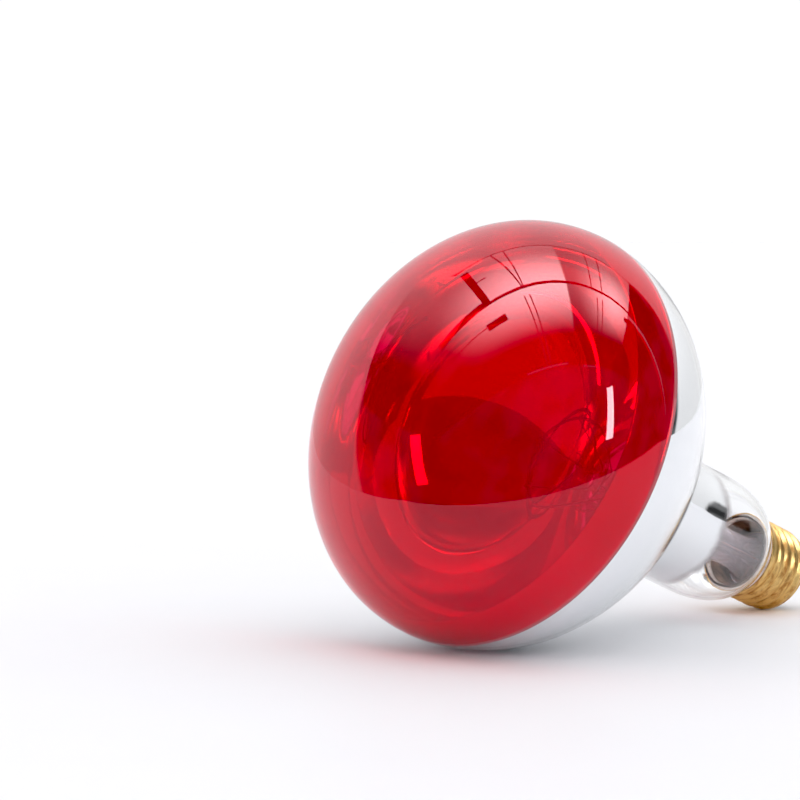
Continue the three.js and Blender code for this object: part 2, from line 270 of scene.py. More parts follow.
def metalAge():  # patches of tarnish and fine drawing marks
    group, given, result = startGroup(
        "metalAge",
        [("Place", "NodeSocketVector", None), ("Scale", "NodeSocketFloat", 200.0),
         ("Tarnish", "NodeSocketFloat", 0.5)],
        ["Patches", "Marks"],
    )
    cloud = noiseAt(group, given["Place"], given["Scale"], 6.0, 0.62)
    edge = maths(group, "SUBTRACT", 0.75, maths(group, "MULTIPLY", given["Tarnish"], 0.4))
    plug(group, result["Patches"], ramp(group, cloud, maths(group, "SUBTRACT", edge, 0.12),
                                        maths(group, "ADD", edge, 0.12)))
    fine = noiseAt(group, given["Place"], maths(group, "MULTIPLY", given["Scale"], 9.0), 4.0, 0.7)
    plug(group, result["Marks"], fine)
    return group


def grit():  # grains and pits of a set or pressed powder
    group, given, result = startGroup(
        "grit",
        [("Place", "NodeSocketVector", None), ("Scale", "NodeSocketFloat", 600.0),
         ("Cover", "NodeSocketFloat", 0.4)],
        ["Specks", "Height"],
    )
    cells = group.nodes.new("ShaderNodeTexVoronoi")
    plug(group, cells.inputs["Vector"], given["Place"])
    plug(group, cells.inputs["Scale"], given["Scale"])
    cloud = noiseAt(group, given["Place"], maths(group, "MULTIPLY", given["Scale"], 0.6), 5.0, 0.65)
    reach = maths(group, "MULTIPLY", given["Cover"], 0.7)
    speck = ramp(group, cells.outputs["Distance"], 0.0, reach, 1.0, 0.0)
    plug(group, result["Specks"], maths(group, "MULTIPLY", speck, cloud))
    plug(group, result["Height"], maths(group, "SUBTRACT", cloud, maths(group, "MULTIPLY", speck, 0.5)))
    return group


wavesGroup = blownWaves()
ageGroup = metalAge()
gritGroup = grit()


def startMaterial(name, **settings):
    material = bpy.data.materials.new(name)
    material.use_nodes = True
    tree = material.node_tree
    shader = next(n for n in tree.nodes if n.type == "BSDF_PRINCIPLED")
    for label, value in settings.items():
        shader.inputs[label.replace("_", " ")].default_value = value
    return material, tree, shader


# Shadow light and scattered light pass straight through, tinted; the camera sees real glass.
def letLightThrough(tree, shader, tint):
    out = next(n for n in tree.nodes if n.type == "OUTPUT_MATERIAL")
    path = tree.nodes.new("ShaderNodeLightPath")
    clear = tree.nodes.new("ShaderNodeBsdfTransparent")
    clear.inputs["Color"].default_value = tint
    seen = shader.outputs["BSDF"]
    for kind in ("Is Shadow Ray", "Is Diffuse Ray"):
        choose = tree.nodes.new("ShaderNodeMixShader")
        tree.links.new(path.outputs[kind], choose.inputs["Fac"])
        tree.links.new(seen, choose.inputs[1])
        tree.links.new(clear.outputs["BSDF"], choose.inputs[2])
        seen = choose.outputs["Shader"]
    tree.links.new(seen, out.inputs["Surface"])


def makeClearGlass(name, colour, clearness):
    material, tree, shader = startMaterial(
        name, Base_Color=(*colour, 1), Transmission_Weight=clearness, IOR=1.5)
    waves = useGroup(tree, wavesGroup, Place=objectPlace(tree), Scale=26.0, Fine=0.05)
    film = noiseAt(tree, objectPlace(tree), 45.0, 4.0)
    plug(tree, shader.inputs["Roughness"], ramp(tree, film, 0.45, 0.8, 0.0, 0.03))
    plug(tree, shader.inputs["Normal"], bumpFrom(tree, waves["Height"], 0.25, 0.0006))
    letLightThrough(tree, shader, (0.97, 0.98, 0.98, 1))
    return material


def makeRubyGlass():
    material, tree, shader = startMaterial("rubyGlass", Transmission_Weight=0.83, IOR=1.5)
    place = objectPlace(tree)
    depth = noiseAt(tree, place, 18.0, 2.0)
    tint = mixColours(tree, ramp(tree, depth, 0.3, 0.7), (0.9, 0.012, 0.08, 1), (0.82, 0.007, 0.055, 1))
    plug(tree, shader.inputs["Base Color"], tint)
    waves = useGroup(tree, wavesGroup, Place=place, Scale=26.0, Fine=0.05)
    film = noiseAt(tree, place, 60.0, 4.0)
    plug(tree, shader.inputs["Roughness"], ramp(tree, film, 0.5, 0.85, 0.0, 0.025))
    plug(tree, shader.inputs["Normal"], bumpFrom(tree, waves["Height"], 0.25, 0.0006))
    letLightThrough(tree, shader, (0.95, 0.12, 0.26, 1))
    return material


def makeMirror():  # vapour-coated aluminium that thins out, browner, towards its end in the neck
    material, tree, shader = startMaterial("aluminiumMirror", Metallic=1.0)
    along = tree.nodes.new("ShaderNodeSeparateXYZ")
    tree.links.new(lampPlace(tree), along.inputs["Vector"])
    drift = noiseAt(tree, lampPlace(tree), 90.0, 4.0)
    ragged = maths(tree, "MULTIPLY_ADD", maths(tree, "SUBTRACT", drift, 0.5), 0.005, along.outputs["Z"])
    edge = coating["mirrorEnd"] / 1000
    thin = ramp(tree, ragged, edge - 0.003, edge + 0.0015)
    front = coating["mirrorStart"] / 1000
    # painted shade: a thin near-black line along the mirror's front edge, under the ruby
    frontEdgeShade = ramp(tree, along.outputs["Z"], front + 0.0002, front + 0.0009, 1.0, 0.0)
    silver = mixColours(tree, thin, (0.915, 0.92, 0.94, 1), (0.44, 0.40, 0.41, 1))
    plug(tree, shader.inputs["Base Color"], mixColours(tree, frontEdgeShade, silver, (0.10, 0.09, 0.09, 1)))
    plug(tree, shader.inputs["Alpha"], ramp(tree, ragged, edge - 0.002, edge + 0.003, 1.0, 0.0))
    plug(tree, shader.inputs["Roughness"], ramp(tree, drift, 0.4, 0.8, 0.02, 0.06))
    waves = useGroup(tree, wavesGroup, Place=objectPlace(tree), Scale=26.0, Fine=0.05)
    plug(tree, shader.inputs["Normal"], bumpFrom(tree, waves["Height"], 0.25, 0.0006))
    return material


# Clean colour, tarnished colour, fineness of the tarnish, its share, and roughness clean and tarnished
metals = {
    "rolledBrass": ((0.83, 0.57, 0.23), (0.50, 0.25, 0.08), 260, 0.5, 0.26, 0.42),
    "dulledBrass": ((0.42, 0.30, 0.17), (0.20, 0.13, 0.09), 300, 0.6, 0.3, 0.5),
    "tinSolder": ((0.66, 0.66, 0.67), (0.36, 0.35, 0.34), 500, 0.5, 0.25, 0.5),
    "nickelWire": ((0.52, 0.49, 0.45), (0.25, 0.22, 0.2), 400, 0.4, 0.25, 0.45),
    "cladCopperWire": ((0.78, 0.40, 0.25), (0.38, 0.12, 0.08), 500, 0.5, 0.25, 0.5),
    "molybdenumWire": ((0.34, 0.33, 0.33), (0.16, 0.15, 0.16), 500, 0.5, 0.3, 0.5),
    "tungstenWire": ((0.26, 0.26, 0.27), (0.12, 0.12, 0.14), 700, 0.5, 0.3, 0.55),
}


def makeMetal(name, along=(1, 1, 1)):
    colour, tarnished, scale, tarnish, gloss, dull = metals[name]
    material, tree, shader = startMaterial(name, Metallic=1.0)
    age = useGroup(tree, ageGroup, Place=lampPlace(tree, along), Scale=scale, Tarnish=tarnish)
    patches = mixColours(tree, age["Patches"], (*colour, 1), (*tarnished, 1))
    shade = ramp(tree, age["Marks"], 0.3, 0.7, 0.86, 1.0)
    plug(tree, shader.inputs["Base Color"], mixColours(tree, 1.0, patches, shade, "MULTIPLY"))
    polish = ramp(tree, age["Patches"], 0, 1, gloss, dull)
    worn = maths(tree, "MULTIPLY_ADD", age["Marks"], 0.08, polish)
    plug(tree, shader.inputs["Roughness"], worn)
    plug(tree, shader.inputs["Normal"], bumpFrom(tree, age["Marks"], 0.5, 0.00003))
    return material


# A set or pressed mineral: two colours, fineness and share of the grains, roughness, relief in metres.
def makeMineral(name, colour, speckColour, scale, cover, gloss, dull, relief, rim=None):
    material, tree, shader = startMaterial(name)
    place = objectPlace(tree)
    grains = useGroup(tree, gritGroup, Place=place, Scale=scale, Cover=cover)
    cloud = ramp(tree, noiseAt(tree, place, scale / 5, 4.0), 0.3, 0.7, 0.75, 1.1)
    bare = (*colour, 1)
    if rim:  # paler in a thin band at the rim of the cap, on the cement's front face
        along = tree.nodes.new("ShaderNodeSeparateXYZ")
        tree.links.new(lampPlace(tree), along.inputs["Vector"])
        start = capStart / 1000
        rimBand = ramp(tree, along.outputs["Z"], start + 0.0003, start + 0.0012, 1.0, 0.0)
        bare = mixColours(tree, rimBand, bare, (*rim, 1))
    base = mixColours(tree, 1.0, bare, cloud, "MULTIPLY")
    plug(tree, shader.inputs["Base Color"], mixColours(tree, grains["Specks"], base, (*speckColour, 1)))
    plug(tree, shader.inputs["Roughness"], ramp(tree, grains["Height"], 0.2, 0.8, dull, gloss))
    plug(tree, shader.inputs["Normal"], bumpFrom(tree, grains["Height"], 0.6, relief))
    return material


def makeCementedGlass():  # clear glass with the cement stuck to its back
    material, tree, shader = startMaterial(
        "cementedGlass", Coat_Weight=0.3, Coat_Roughness=0.06, Roughness=0.8)
    place = objectPlace(tree)
    grains = useGroup(tree, gritGroup, Place=place, Scale=700.0, Cover=0.4)
    wet = ramp(tree, noiseAt(tree, place, 220.0, 4.0), 0.35, 0.65)
    paste = mixColours(tree, wet, (0.14, 0.07, 0.04, 1), (0.33, 0.20, 0.125, 1))
    base = mixColours(tree, grains["Specks"], paste, (0.045, 0.03, 0.022, 1))
    plug(tree, shader.inputs["Base Color"], base)
    return material


clearGlass = makeClearGlass("clearGlass", (0.985, 0.992, 0.99), 1.0)
hazedGlass = makeClearGlass("hazedGlass", (0.72, 0.63, 0.68), 0.78)  # a film left from coating the mirror
cementedGlass = makeCementedGlass()
rubyGlass = makeRubyGlass()
aluminiumMirror = makeMirror()
brass = makeMetal("rolledBrass", along=(1, 1, 0.3))  # rolling draws its marks out round the shell
dulledBrass = makeMetal("dulledBrass")
solder = makeMetal("tinSolder")
nickel = makeMetal("nickelWire")
copper = makeMetal("cladCopperWire")
molybdenum = makeMetal("molybdenumWire")
tungsten = makeMetal("tungstenWire")
cement = makeMineral(
    "basingCement", colour=(0.24, 0.15, 0.09), speckColour=(0.05, 0.033, 0.022), scale=900, cover=0.5,
    gloss=0.75, dull=0.95, relief=0.0003, rim=(0.80, 0.75, 0.68))
vitrite = makeMineral(
    "blackVitrite", colour=(0.012, 0.010, 0.016), speckColour=(0.05, 0.045, 0.05), scale=500, cover=0.25,
    gloss=0.12, dull=0.35, relief=0.0001)
print("finishes ready")


# The blown glass envelope and its two coatings.

def domeOutline(start, end, count):
    depth = glass["domeDepth"]
    power = 2 / glass["domeFullness"]
    first, last = (math.acos((1 - z / depth) ** (1 / power)) for z in (start, end))
    points = []
    for t in blend(count):
        angle = first + t * (last - first)
        radius = glass["bulbRadius"] * math.sin(angle) ** power
        points.append((radius, depth * (1 - max(math.cos(angle), 0) ** power)))
    return points


def bowlOutline(count):
    wide, narrow = glass["bulbRadius"], glass["neckRadius"] + glass["taper"]
    first, last = glass["domeDepth"], glass["neckStart"]
    slope = glass["taper"] / (glass["taperEnd"] - last)
    turn = (narrow + slope * (last - glass["bowlTurn"]), glass["bowlTurn"])
    pulls = (Vector((wide, first)), Vector((wide, first + glass["bowlFullness"])),
             Vector(turn), Vector((narrow, last)))
    points = []
    for t in blend(count):
        s = 1 - t
        spot = pulls[0] * s**3 + pulls[1] * 3 * s * s * t + pulls[2] * 3 * s * t * t + pulls[3] * t**3
        points.append((spot.x, spot.y))
    return points


def neckOutline(end):
    radius, start, last = glass["neckRadius"], glass["neckStart"], glass["taperEnd"]
    tapering = [(radius + glass["taper"] * (1 - t), start + t * (last - start)) for t in blend(4)[1:]]
    return tapering + [(radius, last + t * (end - last)) for t in blend(4)[1:]]


def shoulderOutline(count):
    drop = glass["neckRadius"] - glass["shoulderRadius"]
    rise = glass["shoulderEnd"] - glass["neckEnd"]
    points = []
    for t in blend(count):
        angle = t * math.pi / 2
        radius = glass["shoulderRadius"] + drop * math.cos(angle)
        points.append((radius, glass["neckEnd"] + rise * math.sin(angle)))
    return points


def makeEnvelope():
    rim, tailRadius = glass["shoulderRadius"], glass["tailRadius"]
    cementStart = capStart + 0.6
    tail = [(rim - 0.3, capStart), (rim - 0.5, cementStart),
            (tailRadius, capStart + 2.5), (tailRadius, tailEnd)]
    outer = domeOutline(0, glass["domeDepth"], 44) + bowlOutline(44)[1:]
    outer += neckOutline(glass["neckEnd"]) + shoulderOutline(18)[1:] + tail
    bm = bmesh.new()
    spinOutline(bm, outer, glass["turnSteps"])
    for face in bm.faces:
        face.material_index = int(face.calc_center_median().z > cementStart)
    envelope = pieceFromMesh("glass_envelope", bm, clearGlass, wall=glass["wall"])
    envelope.data.materials.append(cementedGlass)


def makeCoatings():
    outside = coating["clearance"] + coating["rubyWall"]
    bm = bmesh.new()
    spinOutline(bm, moveIn(domeOutline(0, coating["rubyEdge"], 44), -outside), glass["turnSteps"])
    pieceFromMesh("ruby_front_coating", bm, rubyGlass, wall=coating["rubyWall"])

    backed = domeOutline(coating["mirrorStart"], glass["domeDepth"], 20) + bowlOutline(60)[1:]
    backed += neckOutline(coating["mirrorEnd"] + 3.2)
    bm = bmesh.new()
    spinOutline(bm, moveIn(backed, glass["wall"] + coating["clearance"]), glass["turnSteps"])
    pieceFromMesh("mirror_coating", bm, aluminiumMirror, wall=coating["mirrorWall"])


makeEnvelope()
makeCoatings()
print("envelope and coatings made")


# The stem: flare, pinched press, exhaust tube and arbor.

stem = {
    "tubeRadius": 5.5,
    "tubeWall": 1.0,
    "flareRadius": 9.2,
    "flareStart": capStart - 6,
    "pressStart": 104,
    "pressLength": 13,
    "pressThickness": 5,
    "exhaustRadius": 1.9,
    "exhaustWall": 0.6,
    "exhaustTip": capStart + 11,
    "arborRadius": 1.6,
    "buttonRadius": 3.4,
    "buttonPlace": 85.5,
    "leadSpread": 3.6,
    "pressWireRadius": 0.25,
}
pressEnd = stem["pressStart"] + stem["pressLength"]


def pinch(bm, wide, start, end):  # hot tongs flatten the tube; it rounds out again from start to end
    for vert in bm.verts:
        t = min(max((vert.co.z - start) / (end - start), 0), 1)
        ease = t * t * (3 - 2 * t)
        vert.co.x *= wide + (1 - wide) * ease


def makeStem():
    tube, wall = stem["tubeRadius"], stem["tubeWall"]
    spread = stem["flareRadius"] - tube
    first = stem["pressStart"]
    outer = [(0, first), (3.8, first), (4.9, first + 0.3), (5.4, first + 0.9), (tube, first + 1.8)]
    outer += [(tube, z) for z in range(first + 4, int(stem["flareStart"]) + 1, 2)]
    for t in blend(10)[1:]:
        angle = t * math.pi / 2
        outer.append((tube + spread * (1 - math.cos(angle)),
                      stem["flareStart"] + (tailEnd - stem["flareStart"]) * math.sin(angle)))
    inner = [(0, pressEnd), (2.6, pressEnd + 0.4), (4, pressEnd + 1.4), (tube - wall, pressEnd + 3)]
    inner += [(radius, z) for radius, z in moveIn(outer, wall) if z > pressEnd + 4]
    bm = bmesh.new()
    spinOutline(bm, outer + inner[::-1], 64)
    pinch(bm, stem["pressThickness"] / (2 * tube), pressEnd - 1, pressEnd + 9)
    bmesh.ops.recalc_face_normals(bm, faces=bm.faces)
    pieceFromMesh("stem_flare_and_press", bm, hazedGlass)

    radius, tip = stem["exhaustRadius"], stem["exhaustTip"]
    hollow = radius - stem["exhaustWall"]
    outline = [(radius, pressEnd + 3.3), (radius, tip - 4), (radius - 0.2, tip - 2.8),
               (radius - 0.7, tip - 1.5), (0.55, tip - 0.4), (0.2, tip), (0, tip + 0.1),
               (0, tip - 2), (0.7, tip - 2.6), (hollow, tip - 4), (hollow, pressEnd + 3.3)]
    bm = bmesh.new()
    spinOutline(bm, outline, 32, closed=True)
    pieceFromMesh("exhaust_tube", bm, clearGlass)

    button, place = stem["buttonRadius"], stem["buttonPlace"]
    outline = []
    for t in blend(14):
        angle = t * 0.82 * math.pi
        outline.append((button * math.sin(angle), place - 0.6 * button * math.cos(angle)))
    foot = first - 0.3
    outline += [(stem["arborRadius"], place + 4), (stem["arborRadius"], foot - 0.4),
                (stem["arborRadius"] - 0.3, foot), (0, foot)]
    bm = bmesh.new()
    spinOutline(bm, outline, 40)
    pieceFromMesh("support_arbor", bm, clearGlass)


makeStem()
print("stem made")


# The filament, its supports, and the wires that carry and feed it.

filament = {
    "place": 71,
    "ring": 15,  # radius of the arc it hangs in
    "opening": math.radians(70),  # between the leads, underneath
    "coilRadius": 0.4,
    "wireRadius": 0.1,
    "pitch": 0.46,
    "sag": 0.105,  # outwards, between one support and the next
    "supports": 5,
    "supportRadius": 0.17,
    "eye": 1.05,  # the curl round the filament
    "leadRadius": 0.4,
    "outerLeadRadius": 0.22,
}
arcStart = filament["opening"] / 2
arcSweep = 2 * math.pi - filament["opening"]


def makeFilament():
    ring, place = filament["ring"], filament["place"]
    arcLength = ring * arcSweep
    turns = round(arcLength / filament["pitch"])
    perTurn = 10  # points in one turn of the coil
    coil = []
    for i in range(turns * perTurn + 1):
        angle = arcStart + arcSweep * i / (turns * perTurn)
        twist = 2 * math.pi * i / perTurn
        along = (angle - arcStart) / arcSweep
        sag = filament["sag"] * math.sin(math.pi * along * filament["supports"]) ** 2
        out = ring + filament["coilRadius"] * math.cos(twist) + sag
        coil.append(polar(out, angle, place + filament["coilRadius"] * math.sin(twist)))
    pieceFromWire("filament", coil, filament["wireRadius"], tungsten, smooth=False, sides=1)

    margin, button = arcSweep / (2 * filament["supports"]), stem["buttonPlace"]
    for i in range(filament["supports"]):
        angle = arcStart + margin * (2 * i + 1)
        path = [polar(1.4, angle, button), polar(4.6, angle, button - 0.1),
                polar(6.4, angle, button - 1.9)]
        for t in blend(12):
            turn = math.pi * (1.75 * t - 0.25)
            skew = (t - 0.5) * 0.8 / ring
            path.append(polar(ring + filament["eye"] * math.sin(turn), angle + skew,
                              place + filament["eye"] * math.cos(turn)))
        name = f"filament_support_{i + 1}"
        pieceFromWire(name, path, filament["supportRadius"], molybdenum)


def makeLeads():
    ring, place, spread = filament["ring"], filament["place"], stem["leadSpread"]
    for name, side in (("left", -1), ("right", 1)):
        tip = side * arcStart
        path = [Vector((0, side * spread, stem["pressStart"] - 0.3)),
                Vector((0.3, side * spread, stem["pressStart"] - 4)), polar(ring - 2.2, tip, place + 6),
                polar(ring, tip, place + 1), polar(ring, tip, place - 1.5)]
        pieceFromWire(f"inner_lead_{name}", path, filament["leadRadius"], nickel)
        path = [Vector((0, side * spread, stem["pressStart"])), Vector((0, side * spread, pressEnd))]
        pieceFromWire(f"press_wire_{name}", path, stem["pressWireRadius"], copper)

    def throughTube(side):
        return [Vector((0, side * spread, pressEnd + 0.3)), Vector((0, side * 3.2, pressEnd + 5)),
                Vector((0, side * 3.2, tailEnd))]

    tip, start, end = stem["exhaustTip"], cap["insulatorStart"], cap["insulatorEnd"]
    toContact = throughTube(-1) + [Vector((0, -3.2, tip + 1)), Vector((0, -0.3, tip + 6)),
                                   Vector((0, 0, start + 1)), Vector((0, 0, end))]
    pieceFromWire("outer_lead_centre", toContact, filament["outerLeadRadius"], copper)

    angle, between = cap["solderAngle"], 11.1
    toRim = throughTube(1) + [Vector((0.3, 3.6, tailEnd + 2.2)), polar(7, angle, tailEnd + 3.6),
                              polar(between, angle, tailEnd + 1.5), polar(between, angle, capStart + 4),
                              polar(12.35, angle, capStart + 1), polar(12.6, angle, capStart - 0.5),
                              polar(13.8, angle, capStart - 0.6)]
    pieceFromWire("outer_lead_side", toRim, filament["outerLeadRadius"], copper)


# The screw cap and what fills it.

cap = {
    "wall": 0.35,
    "major": 13.1,
    "minor": 12.05,
    "pitch": 3.629,
    "threadStart": capStart + 2.6,
    "threadEnd": capStart + 18,
    "skirtRadius": 13.3,
    "skirtLength": 2.2,
    "end": capStart + 20.6,
    "mouth": 8.8,
    "insulatorStart": capStart + 18.8,
    "insulatorEnd": capStart + 24.7,
    "contactRadius": 5.2,
    "solderAngle": math.radians(50),
    "solderRadius": 2.6,
}


def threadHeight(angle, z):  # right-handed, fading at both ends
    fromEnd = min(z - cap["threadStart"], cap["threadEnd"] - z) / (0.6 * cap["pitch"])
    turn = 2 * math.pi * (z - cap["threadStart"]) / cap["pitch"] - angle
    return (cap["major"] - cap["minor"]) / 2 * min(max(fromEnd, 0), 1) * math.cos(turn)


def pressThread(bm, start, share):
    for vert in bm.verts:
        flat = math.hypot(vert.co.x, vert.co.y)
        if flat > 0 and vert.co.z > start:
            grown = 1 + share * threadHeight(math.atan2(vert.co.y, vert.co.x), vert.co.z) / flat
            vert.co.x *= grown
            vert.co.y *= grown


def makeShell():
    mean = (cap["major"] + cap["minor"]) / 2
    skirt, mouth, first, last = cap["skirtRadius"], cap["mouth"], cap["threadStart"], cap["threadEnd"]
    rolled = capStart + 0.35  # the rim is rolled in a little
    outline = [(skirt - 0.25, capStart), (skirt, rolled)]
    outline += [(skirt, rolled + t * (cap["skirtLength"] - 0.5)) for t in blend(3)[1:]]
    outline += [(mean, first + t * (last - first)) for t in blend(76)]
    outline += [(mean - 0.35, last + 0.5), (mean - 0.9, last + 1.2), (mean - 1.9, last + 2.0),
                (mouth + 1, cap["end"]), (mouth, cap["end"])]
    bm = bmesh.new()
    spinOutline(bm, outline, 120)
    pressThread(bm, capStart, 1)
    pieceFromMesh("screw_shell", bm, brass, wall=cap["wall"], inside=dulledBrass)


def roughen(bm, height, scale, seed):
    noise.seed_set(seed)  # otherwise the noise starts from the clock
    for vert in bm.verts:
        drift = noise.noise_vector(vert.co * scale + Vector((seed, 0, 0)))
        vert.co += drift * height


def makeCapPieces():
    inside, outside = glass["tailRadius"] + 0.25, cap["skirtRadius"] - cap["wall"] - 0.2
    sleeve, length, start = 11.4, 4.5, capStart + 2.8  # the thin part, between the thread and the tail
    outline = [(glass["shoulderRadius"], capStart + 0.35), (12.2, capStart + 0.1),
               (outside, capStart + 0.3), (outside, capStart + 1), (outside, capStart + 1.8),
               (sleeve + 0.05, start)]
    outline += [(sleeve, start + t * length) for t in blend(8)[1:]]
    outline += [(inside, start + (1 - t) * length) for t in blend(8)]
    bm = bmesh.new()
    spinOutline(bm, outline, 160, closed=True)
    pressThread(bm, cap["threadStart"], 0.35)
    roughen(bm, 0.08, 1.7, 3)
    pieceFromMesh("basing_cement", bm, cement)

    start, end, neck = cap["insulatorStart"], cap["insulatorEnd"], cap["mouth"] - 0.3
    rest, tipRadius = cap["end"] + 0.3, cap["contactRadius"] + 0.7
    outline = [(1, start), (neck - 0.3, start), (neck, start + 0.3), (neck, rest),
               (neck + 0.7, rest + 0.15), (neck + 0.6, rest + 0.6), (neck - 0.4, rest + 1.7),
               (tipRadius + 0.5, end - 0.5), (tipRadius, end), (1, end)]
    bm = bmesh.new()
    spinOutline(bm, outline, 72, closed=True)
    pieceFromMesh("cap_insulator", bm, vitrite, sharp=40)

    plate, radius = end + 0.3, cap["contactRadius"]
    outline = [(1, plate), (radius, plate), (radius, plate + 0.35), (radius - 0.2, plate + 0.55),
               (radius - 0.5, plate + 0.6), (3.4, plate + 0.6), (2.9, plate + 0.45), (1, plate + 0.45)]
    bm = bmesh.new()
    spinOutline(bm, outline, 64, closed=True)
    pieceFromMesh("contact_plate", bm, brass)

    base, radius = plate + 0.9, cap["solderRadius"]
    outline = [(0, base), (radius - 0.15, base), (radius, base + 0.12), (radius - 0.2, base + 0.35),
               (radius - 0.6, lampLength), (0, lampLength)]
    bm = bmesh.new()
    spinOutline(bm, outline, 48)
    pieceFromMesh("centre_solder", bm, solder)

    bm = bmesh.new()
    bmesh.ops.create_uvsphere(bm, u_segments=32, v_segments=20, radius=1)
    angle = cap["solderAngle"]
    shape = (Matrix.Translation(polar(cap["skirtRadius"] + 0.75, angle, capStart + 1.1))
             @ Matrix.Rotation(angle, 4, "Z") @ Matrix.Diagonal((0.7, 1.9, 1.6, 1)))
    bmesh.ops.transform(bm, matrix=shape, verts=bm.verts)
    roughen(bm, 0.14, 1.1, 8)
    pieceFromMesh("side_solder", bm, solder)


makeFilament()
makeLeads()
makeShell()
makeCapPieces()
print("wires and cap made")


# The table, the studio that the lamp reflects, and the camera.

studio = {
    "heading": math.radians(-136.5),  # from the lamp towards the camera
    "frontEdge": 0.5,  # the table ends this far in front of the lamp
    "tableHalf": 3,  # half of its width, in metres
    "wallFoot": 0.85,
    "wallTop": 1.35,
    "cloth": 1.0,  # dim far parts of the roof cloth
    "clothGlow": 9.0,  # where the lamps stand behind it
    "strip": 16.0,
    "room": 0.05,
    "furniture": 0.22,
    "scattered": 1.12,
    "background": 1.03,
}

# Things that show against the roof cloth: reach in u, reach in v, how far v leans with u, brightness.
roofLines = (
    ((-0.592, -0.579), (-0.75, 0.62), 0.0, 0.2),  # far edge
    ((-0.052, -0.022), (-1.35, 7.0), 0.0, 0.15),  # pole between the two cloths
    ((-0.085, -0.03), (-1.33, -0.68), 0.0, 0.05),  # its clamp and lamp arm
    ((-0.52, -0.04), (-0.74, -0.675), 0.0, 0.03),
    ((-0.31, -0.295), (-0.68, -0.6), 0.0, 0.3),
    ((0.13, 0.2), (-0.83, -0.62), 0.0, 0.05),
    ((0.148, 0.158), (-1.6, -0.62), 0.0, 0.15),
    ((0.06, 0.12), (0.6, 0.8), 0.0, 0.1),
    ((-0.585, -0.03), (-0.395, -0.382), 0.146, 0.3),  # cords of the far cloth
    ((-0.585, -0.03), (-0.388, -0.378), 0.0, 0.3),
    ((-0.585, -0.03), (0.185, 0.195), 0.0, 0.3),
    ((-0.585, -0.03), (0.288, 0.298), 0.0, 0.3),
    ((0.05, 0.8), (-0.413, -0.403), 0.0, 0.2),  # cords of the near cloth
    ((0.05, 0.8), (-0.367, -0.357), 0.0, 0.2),
    ((0.05, 0.5), (0.235, 0.245), 0.0, 0.2),
    ((0.05, 0.5), (0.293, 0.303), 0.0, 0.2),
    ((-0.01, 0.035), (0.66, 7.0), 0.0, 1.4),  # light that leaks past the pole and the near edge
    ((0.8, 0.83), (-0.68, -0.145), 0.0, 0.6),
    ((0.85, 0.87), (0.07, 0.28), 0.0, 0.8),
)


def makeTable():
    halfSize = studio["tableHalf"]
    bm = bmesh.new()
    bmesh.ops.create_grid(bm, x_segments=8, y_segments=8, size=halfSize)
    shift = Matrix.Translation((studio["frontEdge"] - halfSize, 0, 0))
    turn = Matrix.Rotation(studio["heading"], 4, "Z")
    bmesh.ops.transform(bm, matrix=turn @ shift, verts=bm.verts)
    mesh = bpy.data.meshes.new("table")
    bm.to_mesh(mesh)
    bm.free()
    table = bpy.data.objects.new("table", mesh)
    bpy.context.scene.collection.objects.link(table)
    material, tree, shader = startMaterial("tableLaminate", Roughness=0.55, Specular_IOR_Level=0.1)
    cloud = noiseAt(tree, objectPlace(tree), 12.0, 4.0)
    tint = mixColours(tree, cloud, (0.83, 0.83, 0.855, 1), (0.86, 0.86, 0.88, 1))
    plug(tree, shader.inputs["Base Color"], tint)
    mesh.materials.append(material)


